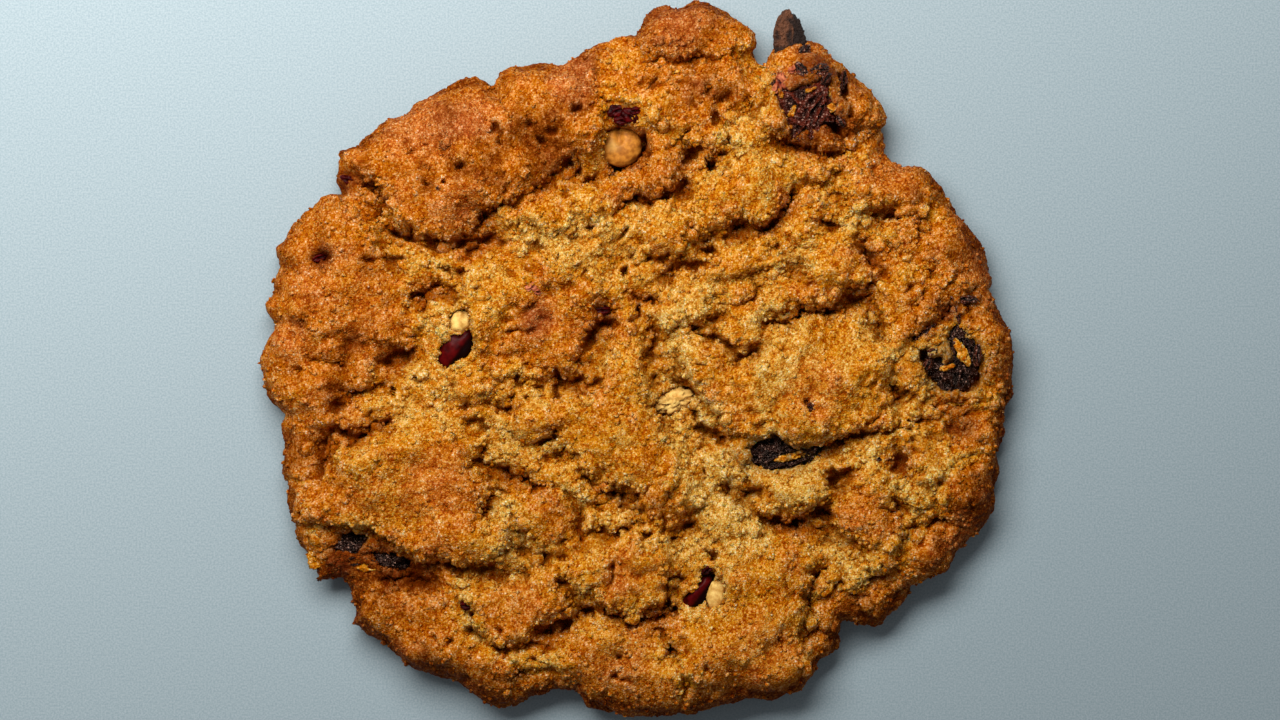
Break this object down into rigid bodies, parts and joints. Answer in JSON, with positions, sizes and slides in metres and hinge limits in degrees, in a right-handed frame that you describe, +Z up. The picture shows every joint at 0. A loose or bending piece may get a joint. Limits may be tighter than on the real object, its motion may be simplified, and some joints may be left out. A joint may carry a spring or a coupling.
{
  "type": "oatmeal raisin cookie",
  "caption": "Flat round drop cookie of oat dough with a torn, browned top and dried fruit and nuts baked in; rests on its flat base.",
  "frame": {"origin": "middle of the flat base, under the centre of the cookie's box", "axes": "+Z up out of the torn top, +Y towards the notched edge with the raisin that pokes out, +X to the right of it"},
  "size_m": [0.0907, 0.0856, 0.0117],
  "materials": {
    "baked dough": "matte",
    "raisin": "satin",
    "red fruit": "satin",
    "nut": "matte"
  },
  "bodies": {
    "root": {"biscuit": "baked dough", "raisin_top_right": "raisin", "raisin_right": "raisin", "raisin_centre": "raisin", "raisin_left": "raisin", "raisin_rim": "raisin", "red_fruit_left": "red fruit", "red_fruit_low": "red fruit", "nut_round": "nut", "nut_left": "nut", "nut_low": "nut", "nut_chip": "nut"}
  },
  "joints": []
}
